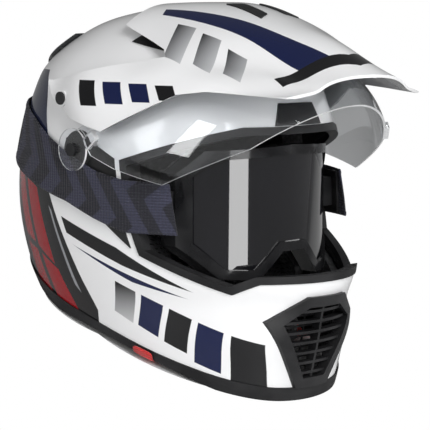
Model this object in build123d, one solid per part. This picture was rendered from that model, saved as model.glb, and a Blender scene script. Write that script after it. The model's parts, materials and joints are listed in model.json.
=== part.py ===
"""Dual sport helmet with a peak, a flip-up clear shield and strapped-on goggles.

The helmet is drawn with the goggle lens upright: +Z up, +Y to the rear, +X to the
wearer's left, y = 0 at the shield's pivot plane. Every piece is then tipped back to
stand on the flat bottom of the rim, with the origin under the middle of its box.
"""

from build123d import *
import math
import os

# Shell, mm.
shell_width = 250.0
rear_reach = 170.0
front_reach = 176.0
crown_height = 183.0
shell_wall = 4.0
overrun = 40.0
section_points = 24

# Standing on its rim: the rim's plane meets y = 0 this far down, at this slope.
base_drop = 97.0
base_slope = 18.5

# Base trim, a rubber channel over the rim.
trim_height = 12.0
trim_edge = 3.0
trim_skin = 1.4
arch_height = 5.0
arch_half_length = 85.0
arch_forward = 35.0

# Eye port.
gasket_width = 6.5
gasket_proud = 1.5
gasket_depth = 7.0

# Linings.
seat_gap = 0.3
liner_thick = 26.0
liner_lift = 13.0
pad_thick = 9.0
neck_roll_thick = 15.0
neck_roll_height = 34.0
chin_liner_thick = 9.0
chin_pad_thick = 10.0
forehead_thick = 12.0
cheek_thick = 24.0
cheek_lift = 6.0

# Side plates, pivot discs and the shield's pivots.
plate_thick = 1.2
disc_radius = 16.0
disc_thick = 1.2
pivot_height = 63.0
pivot_shaft_radius = 4.0
pivot_bore_gap = 0.05
pivot_head_radius = 5.8
pivot_head_thick = 1.6
pivot_inner = 117.0
hub_radius = 18.0
hub_bridge_side = 126.2
hub_bridge_front = 30.0
hub_bridge_rear = 15.0
hub_bridge_low = 51.5
hub_bridge_high = 61.0

# Goggle strap, lying over the discs and under the shield's hubs.
strap_side_clear = 2.8
strap_thick = 1.8
buckle_half_width = 15.0
buckle_thick = 2.0

# Face shield, drawn closed and then swung up.
shield_side_clear = 5.2
shield_front_clear = 5.0
shield_crown_clear = 4.0
shield_thick = 2.0
shield_taper = 0.8
shield_swing = 40.0
shield_tab_length = 16.0
shield_tab_height = 7.0
shield_tab_out = 4.5
stud_radius = 2.6
stud_height = 1.6
stud_forward = 26.0
stud_below = 13.0

# Peak.
peak_half_width = 130.0
peak_reach = 225.0
peak_top = 190.0
peak_wall = 2.4
peak_drop = 400.0
surface_slack = 0.01
peak_front_side = 202.0
peak_front_side_half = 81.0
peak_front_mid = 218.0
peak_pivot_back = 14.0
peak_pivot_height = 106.0
peak_shaft_radius = 3.0
peak_head_radius = 5.5
peak_head_thick = 1.6
peak_hub_radius = 7.0
peak_hub_inner = 117.5
peak_hub_outer = 131.4
peak_screw_inner = 108.0
peak_shoulder_radius = 5.0
inlet_rise = 1.2
mount_half_width = 11.0
mount_length = 20.0
mount_front = 44.0
mount_gap = 0.5

# Vents and small covers.
vent_rim = 7.0
vent_proud = 4.0
vent_depth = 9.0
louvre_count = 9
louvre_thick = 2.4
mesh_thick = 1.0
mesh_wire = 1.4
mesh_columns = 5
mesh_rows = 9
rear_cover_thick = 4.5
rear_cover_half_width = 50.0
top_vent_inner = 24.0
top_vent_outer = 70.0
top_vent_thick = 4.0
brow_thick = 2.2
scoop_thick = 1.0

# Goggles: a cylinder of this radius whose front stands this far ahead of the pivots.
lens_radius = 97.0
lens_front = 132.0
lens_thick = 2.2
frame_half_width = 88.0
frame_top = 66.0
frame_bottom = 45.0
frame_rim = 8.0
frame_proud = 2.5
frame_depth = 18.0
foam_depth = 12.0
lens_lap = 3.0
outrigger_thick = 3.0
outrigger_arm_low = 4.0
outrigger_arm_high = 30.0
outrigger_arm_front = 79.0
outrigger_arm_rear = 68.0

# Chin strap, its rings and the quick release tabs of the cheek pads.
web_width = 20.0
web_thick = 1.7
web_back = 32.0
neck_roll_back = 55.0
web_high = 40.0
web_side = 84.0
web_floor = 6.7
web_bend_side = 62.0
web_bend_height = 10.0
right_web_end = 34.0
left_web_end = 16.0
anchor_height = 16.0
anchor_thick = 2.0
loop_radius = 3.5
ring_width = 29.0
ring_depth = 21.0
ring_wire = 3.0
snap_radius = 5.0
snap_thick = 1.5
snap_inset = 9.0
tab_width = 20.0
tab_thick = 2.2
tab_out = 2.5
tab_forward = 56.0
tab_floor = 1.6
tab_inner = 66.0

half_width = shell_width / 2
hub_side = half_width + strap_side_clear + strap_thick + seat_gap
lens_axis = lens_front - lens_radius

# The shell's level sections, from the crown down. Shares of crown_height, half_width,
# rear_reach, front_reach and, for the widest station, rear_reach; then two powers.
level_shares = [
    (1.000, 0.020, 0.030, 0.028, 0.000, 2.00, 2.00),
    (0.986, 0.224, 0.200, 0.160, 0.024, 2.00, 2.00),
    (0.962, 0.360, 0.330, 0.285, 0.035, 2.00, 2.00),
    (0.913, 0.536, 0.494, 0.430, 0.059, 2.00, 2.00),
    (0.803, 0.744, 0.700, 0.620, 0.094, 2.00, 2.10),
    (0.694, 0.856, 0.841, 0.715, 0.118, 2.00, 2.12),
    (0.574, 0.920, 0.894, 0.765, 0.118, 2.05, 2.15),
    (0.311, 0.992, 0.976, 0.835, 0.118, 2.05, 2.20),
    (0.164, 1.000, 1.000, 0.890, 0.118, 2.05, 2.20),
    (0.000, 0.996, 0.994, 0.955, 0.118, 2.05, 2.15),
    (-0.137, 0.976, 0.959, 0.989, 0.118, 2.05, 2.10),
    (-0.246, 0.952, 0.912, 1.000, 0.118, 2.05, 2.00),
    (-0.366, 0.912, 0.829, 0.960, 0.118, 2.05, 2.00),
    (-0.546, 0.856, 0.741, 0.920, 0.118, 2.05, 2.30),
    (-0.620, 0.836, 0.712, 0.900, 0.118, 2.05, 2.31),
    (-0.700, 0.815, 0.681, 0.880, 0.118, 2.05, 2.33),
    (-0.775, 0.795, 0.652, 0.860, 0.118, 2.05, 2.34),
    (-0.847, 0.776, 0.624, 0.841, 0.118, 2.05, 2.35),
]

# Side outlines, as shares of front_reach and crown_height.
port_shares = [
    (-0.260, 0.306), (-0.284, 0.164), (-0.318, 0.011), (-0.364, -0.126),
    (-0.756, -0.290), (-0.864, -0.240), (-1.250, -0.240), (-1.250, 0.459),
    (-0.727, 0.459), (-0.625, 0.426), (-0.460, 0.372),
]
plate_shares = [
    (0.114, 0.142), (0.090, 0.393), (0.006, 0.426), (-0.227, 0.311),
    (-0.250, 0.164), (-0.282, 0.011), (-0.318, -0.095), (-0.130, 0.044), (0.062, 0.104),
]
strap_shares = [
    (-0.500, 0.208), (-0.295, 0.219), (-0.136, 0.251), (0.188, 0.378), (0.398, 0.475),
    (0.625, 0.546), (1.250, 0.600), (1.250, 0.345), (0.710, 0.255), (0.244, 0.137),
    (0.068, 0.098), (-0.114, 0.033), (-0.295, -0.022), (-0.500, -0.022),
]
liner_front_shares = [
    (-0.205, 0.361), (-0.250, 0.000), (-0.270, -0.340), (-0.270, -0.900),
    (-1.400, -0.900), (-1.400, 0.503), (-0.710, 0.503), (-0.560, 0.470),
]
shield_shares = [
    (-0.080, 0.405), (-0.227, 0.370), (-0.460, 0.375), (-0.600, 0.388), (-0.740, 0.425),
    (-0.830, 0.448), (-1.250, 0.448), (-1.250, -0.203), (-1.017, -0.203), (-0.733, -0.200),
    (-0.341, -0.104), (-0.170, 0.109), (-0.080, 0.251),
]
peak_side_shares = [
    (0.227, 0.661), (0.182, 0.574), (0.045, 0.497), (-0.216, 0.437), (-0.415, 0.530),
    (-0.591, 0.612), (-0.733, 0.628), (-1.063, 0.612), (-1.400, 0.595), (-1.400, 1.150),
    (-0.085, 1.150), (-0.068, 0.918), (-0.392, 0.809), (-0.432, 0.776), (-0.307, 0.754),
    (-0.165, 0.732), (0.068, 0.683), (0.193, 0.661),
]
cheek_shares = [
    (-0.227, 0.000), (-0.057, 0.120), (0.148, -0.470), (-0.470, -0.680), (-0.450, -0.360),
]
chin_liner_shares = [
    (-0.400, -0.180), (-0.756, -0.325), (-0.864, -0.275), (-1.250, -0.275),
    (-1.250, -0.720), (-0.960, -0.745), (-0.400, -0.590),
]
chin_pad_shares = [
    (-0.585, -0.265), (-0.756, -0.330), (-0.864, -0.290), (-1.250, -0.290),
    (-1.250, -0.400), (-0.864, -0.400), (-0.585, -0.360),
]
forehead_shares = [(-0.420, 0.500), (-0.850, 0.500), (-0.850, 1.000), (-0.420, 1.000)]
crown_pad_shares = [
    (-0.400, 0.460), (0.350, 0.350), (1.100, 0.350), (1.100, 1.100), (-0.400, 1.100),
]
rear_cover_shares = [
    (0.400, 0.240), (1.250, 0.240), (1.250, -0.360), (0.400, -0.330),
]
top_vent_shares = [
    (0.470, 0.870), (0.640, 0.870), (0.780, 0.760), (0.740, 0.720), (0.560, 0.800),
]
scoop_shares = [
    (-0.300, 0.850), (-0.160, 0.880), (-0.130, 0.840), (-0.330, 0.800),
]

outrigger_shares = [(-0.500, 0.197), (-0.375, 0.197), (-0.375, -0.011), (-0.500, -0.011)]

# Front outlines, as shares of half_width and crown_height.
chin_vent_shares = [
    (-0.416, -0.415), (-0.168, -0.306), (0.168, -0.306), (0.416, -0.415),
    (0.145, -0.749), (-0.145, -0.749),
]
brow_shares = [
    (-0.216, 0.463), (-0.160, 0.563), (0.160, 0.563), (0.216, 0.463),
]
goggle_frame_shares = [
    (-1.000, 0.680), (-0.840, 0.970), (0.000, 1.030), (0.840, 0.970), (1.000, 0.680),
    (1.000, -0.360), (0.740, -0.960), (0.400, -1.000), (0.140, -0.490),
    (-0.140, -0.490), (-0.400, -1.000), (-0.740, -0.960), (-1.000, -0.360),
]

# The peak's cross sections: how far forward, then edge, flank, shoulder and ridge as
# pairs, and the middle's height. Shares of peak_reach, peak_half_width and peak_top.
peak_shares = [
    (-0.200, (0.950, 0.516), (0.905, 0.700), (0.620, 0.870), (0.400, 0.935), 0.940),
    (-0.044, (0.985, 0.463), (0.910, 0.700), (0.615, 0.880), (0.400, 0.955), 0.975),
    (0.089, (1.030, 0.432), (0.905, 0.700), (0.600, 0.888), (0.385, 0.965), 0.978),
    (0.244, (0.990, 0.463), (0.850, 0.680), (0.600, 0.845), (0.385, 0.945), 0.985),
    (0.400, (0.885, 0.550), (0.760, 0.700), (0.575, 0.816), (0.385, 0.903), 0.966),
    (0.556, (0.769, 0.605), (0.646, 0.695), (0.508, 0.774), (0.385, 0.842), 0.908),
    (0.711, (0.700, 0.600), (0.585, 0.663), (0.477, 0.705), (0.369, 0.750), 0.847),
    (0.844, (0.646, 0.589), (0.538, 0.626), (0.438, 0.653), (0.338, 0.686), 0.775),
    (1.040, (0.600, 0.579), (0.492, 0.594), (0.400, 0.604), (0.308, 0.612), 0.618),
]
# Seen from above: shares of peak_half_width and peak_reach.
inlet_shares = [(0.070, -0.370), (0.165, -0.330), (0.175, -0.520), (0.085, -0.500)]


def section_wire(shares, side, ahead, up, taper):
    """One level section of the shell, grown by side, ahead and up, its low front tapered."""
    height, width, rear, front, middle, rear_power, front_power = shares
    front_power += taper * min(height, 0)
    z = height * (crown_height + up if height > 0 else crown_height)
    station = middle * rear_reach
    points = []
    for step in range(section_points):
        turn = 2 * math.pi * step / section_points + math.pi / 2
        across, along = math.cos(turn), math.sin(turn)
        power = rear_power if along >= 0 else front_power
        reach = rear * rear_reach - station if along >= 0 else station + front * front_reach
        x = width * (half_width + side) * math.copysign(abs(across) ** (2 / power), across)
        y = station + reach * math.copysign(abs(along) ** (2 / power), along)
        points.append(Vector(x, y * (front_reach + ahead) / front_reach, z))
    spacing = [step / section_points for step in range(section_points + 1)]
    return Wire([Edge.make_spline(points, periodic=True, parameters=spacing)])


forms = {}


def form(side, ahead=None, up=None, taper=0):
    """The shell's whole outer form, grown by side, ahead and up; one value grows all."""
    ahead = side if ahead is None else ahead
    up = side if up is None else up
    key = (side, ahead, up, taper)
    if key not in forms:
        wires = [section_wire(shares, *key) for shares in reversed(level_shares)]
        forms[key] = Solid.make_loft(wires)
    return forms[key]


def side_points(shares):
    return [(y * front_reach, z * crown_height) for y, z in shares]


def front_points(shares):
    return [(x * half_width, z * crown_height) for x, z in shares]


def outline(points, grow=0):
    """A closed outline's face, grown outwards by grow, or shrunk where it is negative."""
    face = make_face(Polyline(*points, close=True))
    return offset(face, grow, kind=Kind.INTERSECTION) if grow else face


def side_prism(points, grow=0):
    """A prism right across the helmet over a side outline."""
    return extrude(Plane.YZ * outline(points, grow), half_width + overrun, both=True)


def front_prism(points, grow=0, rear=0):
    """A prism along Y over a front outline, from ahead of the helmet back to rear."""
    depth = front_reach + overrun + rear
    return extrude(Plane.XZ * outline(points, grow), depth).moved(Location((0, rear, 0)))


def tipped(solid):
    """Carry a solid drawn over the rim's plane into the drawing's attitude."""
    return Pos(0, 0, -base_drop) * Rot(base_slope, 0, 0) * solid


def stood(solid):
    """Carry a solid from the drawing's attitude to stand on the rim."""
    return Rot(-base_slope, 0, 0) * Pos(0, 0, base_drop) * solid


def mirrored(solid):
    return mirror(solid, about=Plane.YZ)


def box_between(low, high):
    size = [b - a for a, b in zip(low, high)]
    middle = [(a + b) / 2 for a, b in zip(low, high)]
    return Pos(*middle) * Box(*size)


def above_base(lift):
    """A big block whose flat bottom lies lift above the rim's plane."""
    reach = 2 * (front_reach + rear_reach)
    return tipped(box_between((-reach, -reach, lift), (reach, reach, 2 * reach)))


def base_arch(lift):
    """The shallow arch cut up into the rim between its front and rear feet."""
    radius = (arch_half_length ** 2 + arch_height ** 2) / (2 * arch_height)
    bar = Cylinder(radius + lift, 2 * (half_width + overrun))
    return tipped(Pos(0, -arch_forward, arch_height - radius) * Rot(0, 90, 0) * bar)


def round_bar(radius, low, high, y, z):
    """A bar along X, from low to high."""
    bar = Cylinder(radius, high - low, align=(Align.CENTER, Align.CENTER, Align.MIN))
    return Pos(low, y, z) * Rot(0, 90, 0) * bar


def both_sides(solid):
    return [solid, mirrored(solid)]


def band(inner, outer, *tools):
    """The skin between two forms, kept inside each tool."""
    solid = form(*outer)
    for tool in tools:
        solid = solid & tool
    return solid - form(*inner)


def pick(solid, side):
    """The solids of a shape on one side of the middle plane: -1 right, 1 left."""
    return Compound([one for one in solid.solids() if one.center().X * side > 0])


nodes = {}
port = side_points(port_shares)
plate = side_points(plate_shares)
chin_vent = front_points(chin_vent_shares)
goggle_outline = [(x * frame_half_width, z * (frame_top if z > 0 else frame_bottom))
                  for x, z in goggle_frame_shares]
vent_rear = -front_reach / 2
peak_pivot = (peak_pivot_back, peak_pivot_height)
shield_pivot = (0, pivot_height)


def drilled(solid, radius, inner, pivot):
    """A solid with a hole along X through each side at a pivot."""
    bar = round_bar(radius, inner, half_width + overrun, *pivot)
    return solid - bar - mirrored(bar)


def make_shell():
    """The hard shell, the rubber trim on its rim and the gasket round the eye port."""
    skin = band((-shell_wall,), (0,), above_base(trim_edge)) - base_arch(trim_edge)
    skin = skin - side_prism(port) - front_prism(chin_vent, -vent_rim, vent_rear)
    skin = drilled(skin, pivot_shaft_radius, pivot_inner, shield_pivot)
    nodes["outer_shell"] = drilled(skin, peak_shaft_radius, peak_screw_inner, peak_pivot)
    inner = -shell_wall - trim_skin
    trim = band((inner,), (trim_skin,), above_base(0)) - above_base(trim_height)
    nodes["base_trim"] = trim - base_arch(0) - nodes["outer_shell"]
    ring = band((-gasket_depth,), (gasket_proud,), side_prism(port))
    nodes["eye_port_gasket"] = ring - side_prism(port, -gasket_width)


def make_linings():
    """The impact liner and the comfort pads inside it."""
    outer = -shell_wall - seat_gap
    inner = outer - liner_thick
    liner = band((inner,), (outer,), above_base(liner_lift))
    liner = liner - side_prism(side_points(liner_front_shares))
    liner = drilled(liner, pivot_shaft_radius + seat_gap, pivot_inner - seat_gap, shield_pivot)
    liner = drilled(liner, peak_shaft_radius + seat_gap, peak_screw_inner - seat_gap, peak_pivot)
    nodes["impact_liner"] = liner
    face = inner - seat_gap
    crown = side_prism(side_points(crown_pad_shares))
    nodes["crown_pad"] = band((face - pad_thick,), (face,), crown)
    brow = side_prism(side_points(forehead_shares))
    nodes["forehead_pad"] = band((face - forehead_thick,), (face,), brow)
    reach = 2 * rear_reach
    roll = tipped(box_between((-reach, neck_roll_back, liner_lift),
                              (reach, reach, liner_lift + neck_roll_height)))
    nodes["neck_roll"] = band((face - neck_roll_thick,), (face,), roll)
    chin_zone = side_prism(side_points(chin_liner_shares)) & above_base(trim_height + seat_gap)
    duct = front_prism(chin_vent, 0, vent_rear)
    chin = band((outer - chin_liner_thick,), (outer,), chin_zone) - duct
    nodes["chin_liner"] = chin
    pad_face = outer - chin_liner_thick - seat_gap
    chin_pad_zone = side_prism(side_points(chin_pad_shares))
    nodes["chin_bar_pad"] = band((pad_face - chin_pad_thick,), (pad_face,), chin_pad_zone)
    cheek_zone = side_prism(side_points(cheek_shares)) & above_base(cheek_lift)
    cheeks = band((face - cheek_thick,), (face,), cheek_zone)
    for name, side in (("right", -1), ("left", 1)):
        nodes["cheek_pad_" + name] = pick(cheeks, side)


def make_release_tabs():
    """Red pulls under the rim that free the cheek pads."""
    low = tipped(box_between((tab_inner, -tab_forward - tab_width / 2, tab_floor),
                             (half_width, -tab_forward + tab_width / 2, tab_floor + tab_thick)))
    strip = low & form(trim_skin + tab_out)
    rise = tipped(box_between((tab_inner, -tab_forward - tab_width / 2, tab_floor),
                              (tab_inner + tab_thick, -tab_forward + tab_width / 2, cheek_lift)))
    nodes["release_tab_left"] = strip + rise
    nodes["release_tab_right"] = mirrored(nodes["release_tab_left"])


def make_vents():
    """The chin vent, the rear and crown covers and the brow plate."""
    mouth = front_prism(chin_vent, 0, vent_rear)
    throat = front_prism(chin_vent, -vent_rim, vent_rear)
    bore = front_prism(chin_vent, -vent_rim - louvre_thick, vent_rear)
    rim = band((0,), (vent_proud,), mouth) - throat
    frame = rim + (band((-vent_depth,), (vent_proud,), throat) - bore)
    nodes["chin_vent_frame"] = frame & above_base(trim_height + seat_gap)
    low = min(z for x, z in chin_vent)
    high = max(z for x, z in chin_vent)
    grown = outline(chin_vent, -vent_rim - louvre_thick)
    bars = Pos(0, (low + high) / 2) * Rectangle(louvre_thick, high - low)
    pitch = (high - low) / louvre_count
    for row in range(louvre_count):
        bars += Pos(0, low + (row + 1 / 2) * pitch) * Rectangle(shell_width, louvre_thick)
    grille = extrude(Plane.XZ * (grown & bars), front_reach + overrun)
    nodes["chin_vent_louvres"] = band((-vent_depth,), (0,), grille)
    grid = outline(chin_vent, -vent_rim)
    column = shell_width * max(x for x, z in chin_vent_shares) / mesh_columns
    step = (high - low) / mesh_rows
    for row in range(mesh_rows):
        for line in range(mesh_columns):
            x = (line - (mesh_columns - 1) / 2) * column
            hole = Rectangle(column - mesh_wire, step - mesh_wire)
            grid -= Pos(x, low + (row + 1 / 2) * step) * hole
    net = extrude(Plane.XZ * grid, front_reach + overrun)
    back = -vent_depth - seat_gap
    nodes["chin_vent_mesh"] = band((back - mesh_thick,), (back,), net, above_base(trim_height))
    wide = box_between((-rear_cover_half_width, 0, -crown_height),
                       (rear_cover_half_width, 2 * rear_reach, crown_height))
    cover = side_prism(side_points(rear_cover_shares))
    wide = wide & above_base(trim_height + seat_gap)
    nodes["rear_vent_cover"] = band((0,), (rear_cover_thick,), cover, wide)
    lane = box_between((top_vent_inner, 0, 0), (top_vent_outer, 2 * rear_reach, crown_height))
    top = band((0,), (top_vent_thick,), side_prism(side_points(top_vent_shares)), lane)
    nodes["rear_top_vents"] = Compound(both_sides(top))
    scoops = band((0,), (scoop_thick,), side_prism(side_points(scoop_shares)))
    nodes["crown_scoops"] = scoops
    brow = front_prism(front_points(brow_shares), 0, vent_rear)
    nodes["brow_plate"] = band((0,), (brow_thick,), brow)


def make_side_plates():
    """The black plates round the pivots, the fixed discs and the shield's pivot screws."""
    flanks = band((0,), (plate_thick, 0, 0), side_prism(plate))
    flanks = drilled(flanks, pivot_shaft_radius, pivot_inner, shield_pivot)
    for name, side in (("right", -1), ("left", 1)):
        nodes["side_plate_" + name] = pick(flanks, side)
    button = round_bar(disc_radius, 0, half_width + overrun, *shield_pivot)
    button = button & form(plate_thick + disc_thick, 0, 0)
    button = button - form(0) - nodes["side_plate_left"]
    button = button - round_bar(pivot_shaft_radius, pivot_inner, half_width + overrun, *shield_pivot)
    nodes["pivot_discs"] = Compound(both_sides(button))
    head_side = hub_side + shield_thick + seat_gap
    screw = round_bar(pivot_shaft_radius, pivot_inner, head_side, *shield_pivot)
    screw = screw + round_bar(pivot_head_radius, head_side, head_side + pivot_head_thick, *shield_pivot)
    nodes["shield_pivot_screws"] = Compound(both_sides(screw))


def swung(solid):
    """Swing a solid from the shield's closed place to its raised one."""
    return Pos(0, *shield_pivot) * Rot(-shield_swing, 0, 0) * Pos(0, 0, -pivot_height) * solid


def make_shield():
    """The clear face shield with its hubs, finger tab and latch studs, raised."""
    clearances = (shield_side_clear, shield_front_clear, shield_crown_clear)
    inner = (*clearances, shield_taper)
    outer = (*[value + shield_thick for value in clearances], shield_taper)
    sheet = band(inner, outer, side_prism(side_points(shield_shares)))
    hole = round_bar(hub_radius, -half_width - overrun, half_width + overrun, *shield_pivot)
    sheet = sheet - hole
    bore = round_bar(pivot_shaft_radius + pivot_bore_gap, 0, half_width + overrun, *shield_pivot)
    disc = round_bar(hub_radius, hub_side, hub_side + shield_thick, *shield_pivot) - bore
    bridge = box_between((hub_bridge_side, -hub_bridge_front, hub_bridge_low),
                         (hub_side + shield_thick, -hub_bridge_rear, hub_bridge_high))
    hub = disc + (bridge - round_bar(disc_radius + seat_gap, 0, hub_side, *shield_pivot))
    nodes["face_shield"] = swung(sheet + hub + mirrored(hub))
    bend_y, bend_z = side_points(shield_shares)[9]
    grip = box_between((0, bend_y - shield_tab_length, bend_z),
                       (half_width, bend_y, bend_z + shield_tab_height))
    grip = grip & form(*[value + shield_tab_out for value in outer[:3]], shield_taper)
    nodes["shield_tab"] = swung(grip - form(*outer))
    stud = round_bar(stud_radius, half_width / 2, half_width + overrun,
                     -stud_forward, pivot_height - stud_below)
    stud = stud & form(*[value + stud_height for value in outer[:3]], shield_taper)
    stud = stud - form(*outer) - hub
    nodes["shield_studs"] = swung(Compound(both_sides(stud)))


def peak_arch(shares, inset):
    """Half of one cross section of the peak, set in by inset: edge to middle."""
    reach, *pairs, middle = shares
    points = [(x * peak_half_width, z * peak_top) for x, z in pairs]
    points.append((0, middle * peak_top))
    ends = [(points[0][0] + points[0][0] - points[1][0], points[0][1] + points[0][1] - points[1][1])]
    chain = ends + points + [(-points[-2][0], points[-2][1])]
    moved = []
    for before, here, after in zip(chain, chain[1:], chain[2:]):
        run, rise = after[0] - before[0], after[1] - before[1]
        length = math.hypot(run, rise)
        moved.append((here[0] - inset * rise / length, here[1] + inset * run / length))
    moved[-1] = (0, points[-1][1] - inset)
    return -reach * peak_reach, moved


def peak_body(inset):
    """Everything under the peak's smooth skin, set in by inset."""
    rows = []
    for shares in peak_shares:
        y, top = peak_arch(shares, inset)
        chain = top + [(-x, z) for x, z in reversed(top[:-1])]
        rows.append([Vector(x, y, z) for x, z in chain])
    skin = Face.make_surface_from_array_of_points(rows, tol=surface_slack)
    return extrude(skin, amount=peak_drop, dir=(0, 0, -1))


def peak_trim():
    """Everything ahead of the peak's curved front edge."""
    arc = ThreePointArc((-peak_front_side_half, -peak_front_side), (0, -peak_front_mid),
                        (peak_front_side_half, -peak_front_side))
    far = 2 * peak_reach
    edge = Polyline(arc @ 1, (peak_half_width, -peak_front_side), (peak_half_width, -far),
                    (-peak_half_width, -far), (-peak_half_width, -peak_front_side), arc @ 0)
    return extrude(make_face(Curve() + [arc, edge]), 2 * peak_top)


def make_peak():
    """The peak with its arms, its side screws, its inlets and its centre mount."""
    zone = side_prism(side_points(peak_side_shares))
    skin = (peak_body(0) & zone) - peak_body(peak_wall) - peak_trim()
    hub = round_bar(peak_hub_radius, peak_hub_inner, peak_hub_outer, *peak_pivot)
    skin = skin + hub + mirrored(hub)
    nodes["peak"] = drilled(skin, peak_shaft_radius + pivot_bore_gap, 0, peak_pivot)
    head_side = peak_hub_outer + seat_gap
    screw = round_bar(peak_shoulder_radius, peak_screw_inner, peak_hub_inner - seat_gap, *peak_pivot)
    screw = screw - form(0)
    screw = screw + round_bar(peak_shaft_radius, peak_screw_inner, head_side, *peak_pivot)
    screw = screw + round_bar(peak_head_radius, head_side, head_side + peak_head_thick, *peak_pivot)
    nodes["peak_side_screws"] = Compound(both_sides(screw))
    plan = [(x * peak_half_width, y * peak_reach) for x, y in inlet_shares]
    inlet = (extrude(outline(plan), 2 * peak_top) & peak_body(-inlet_rise)) - peak_body(0)
    nodes["peak_inlets"] = Compound(both_sides(inlet))
    post = box_between((-mount_half_width, -mount_front - mount_length, 0),
                       (mount_half_width, -mount_front, peak_top))
    nodes["peak_centre_mount"] = (post & peak_body(peak_wall + mount_gap)) - form(0)


def curved_slab(front, back):
    """A slab that follows the lens, from front to back behind the frame's face."""
    radius = lens_radius + frame_proud
    post = Cylinder(radius, 2 * crown_height)
    return Pos(0, front - lens_axis, 0) * post - Pos(0, back - lens_axis, 0) * post


def make_goggles():
    """The goggles: frame, lens, face foam, outriggers, strap and strap buckle."""
    rear = -lens_axis
    ring = front_prism(goggle_outline, 0, rear) - front_prism(goggle_outline, -frame_rim, rear)
    tube = Pos(0, -lens_axis, 0) * Cylinder(lens_radius, 2 * crown_height)
    tube = tube - Pos(0, -lens_axis, 0) * Cylinder(lens_radius - lens_thick, 2 * crown_height)
    lens = tube & front_prism(goggle_outline, -frame_rim + lens_lap, rear)
    nodes["goggle_lens"] = lens
    nodes["goggle_frame"] = (curved_slab(0, frame_depth) & ring) - lens
    cushion = front_prism(goggle_outline, -frame_proud / 2, rear)
    cushion = cushion - front_prism(goggle_outline, -frame_rim - frame_proud, rear)
    nodes["goggle_foam"] = curved_slab(frame_depth + seat_gap, frame_depth + foam_depth) & cushion
    plate_outer = strap_side_clear - seat_gap
    pad = band((plate_outer - outrigger_thick, 0, 0), (plate_outer, 0, 0),
               side_prism(side_points(outrigger_shares)))
    arm = box_between((frame_half_width, -outrigger_arm_front, outrigger_arm_low),
                      (half_width, -outrigger_arm_rear, outrigger_arm_high))
    left = pick(pad, 1) + (arm & form(plate_outer, 0, 0))
    nodes["goggle_outrigger_left"] = left
    nodes["goggle_outrigger_right"] = mirrored(left)
    low = (strap_side_clear, strap_side_clear / 2, 0)
    high = (strap_side_clear + strap_thick, strap_side_clear / 2 + strap_thick, strap_thick)
    strap_zone = side_prism(side_points(strap_shares))
    nodes["goggle_strap"] = band(low, high, strap_zone)
    block = box_between((-buckle_half_width, 0, -crown_height),
                        (buckle_half_width, 2 * rear_reach, crown_height))
    clip = tuple(value + buckle_thick for value in high)
    nodes["strap_buckle"] = band(high, clip, strap_zone, block)


def ribbon(run, thick):
    """The face of a bent strip of even thickness along a run of points."""
    ahead = [run[0]] + run
    beyond = run + [run[-1]]
    left = []
    right = []
    for before, here, after in zip(ahead, run, beyond[1:]):
        across, rise = after[0] - before[0], after[1] - before[1]
        share = thick / 2 / math.hypot(across, rise)
        left.append((here[0] - rise * share, here[1] + across * share))
        right.append((here[0] + rise * share, here[1] - across * share))
    return make_face(Polyline(*left, *reversed(right), close=True))


def d_ring():
    """One wire D-ring lying flat, its straight bar on the Y axis."""
    radius = ring_wire / 2
    half = ring_width / 2
    corner = ring_depth - half
    arch = Pos(corner, 0, 0) * Torus(half, radius)
    ahead = box_between((corner, -ring_width, -ring_wire), (ring_width + corner, ring_width, ring_wire))
    ring = arch & ahead
    ring = ring + Rot(90, 0, 0) * Cylinder(radius, ring_width)
    for side in (-1, 1):
        ring = ring + round_bar(radius, 0, corner, side * half, 0)
        ring = ring + Pos(0, side * half, 0) * Sphere(radius)
    return ring


def web_box(low_side, high_side, low, high):
    """A block as wide as the web, over the rim's plane."""
    return tipped(box_between((low_side, web_back, low), (high_side, web_back + web_width, high)))


def make_chin_strap():
    """The two webs of the chin strap, their anchors, the D-rings and the snap."""
    plate_face = -shell_wall - liner_thick - 2 * seat_gap
    top = web_box(0, half_width, web_high - anchor_height, web_high)
    nodes["strap_anchors"] = band((plate_face - anchor_thick,), (plate_face,), top + mirrored(top))
    web_face = plate_face - anchor_thick
    upper = band((web_face - web_thick,), (web_face,), top)

    def web(inner_end):
        run = [(web_side, web_high - anchor_height / 2), (web_bend_side, web_bend_height),
               (inner_end, web_floor)]
        strip = extrude(Plane.XZ * ribbon(run, web_thick), -web_width)
        return tipped(Pos(0, web_back, 0) * strip) & form(web_face)

    nodes["chin_strap_left"] = upper + web(left_web_end)
    loop = (right_web_end, web_back + web_width / 2, web_floor)
    flat = Rot(90, 0, 0)
    outer = Pos(*loop) * flat * Cylinder(loop_radius + web_thick, web_width)
    bore = Pos(*loop) * flat * Cylinder(loop_radius, 2 * web_width)
    right = (upper + web(right_web_end) + tipped(outer)) - tipped(bore)
    nodes["chin_strap_right"] = mirrored(right)
    lift = (ring_wire + seat_gap) / 2
    pair = [Pos(-loop[0], loop[1], loop[2] + side * lift) * d_ring() for side in (-1, 1)]
    nodes["d_rings"] = tipped(Compound(pair))
    button = Cylinder(snap_radius, snap_thick, align=(Align.CENTER, Align.CENTER, Align.MIN))
    spot = (left_web_end + snap_inset, loop[1], web_floor + web_thick)
    nodes["strap_snap"] = tipped(Pos(*spot) * button) - nodes["chin_strap_left"]


make_shell()
make_linings()
make_release_tabs()
make_vents()
make_side_plates()
make_shield()
make_peak()
make_goggles()
make_chin_strap()

standing = {name: stood(shape) for name, shape in nodes.items()}
whole = Compound([solid for shape in standing.values() for solid in shape.solids()])
box = whole.bounding_box()
middle = (box.min.Y + box.max.Y) / 2
os.makedirs("parts", exist_ok=True)
for name, shape in standing.items():
    export_step(Pos(0, -middle, 0) * Compound(shape.solids()), f"parts/{name}.step")
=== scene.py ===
"""Looks for the dual sport helmet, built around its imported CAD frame.

Shapes are placed in the drawing's own millimetres: the goggle lens upright, y = 0 at the
shield's pivot, and +X the wearer's left. row() carries them to the frame.
"""

import json
import math

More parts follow.
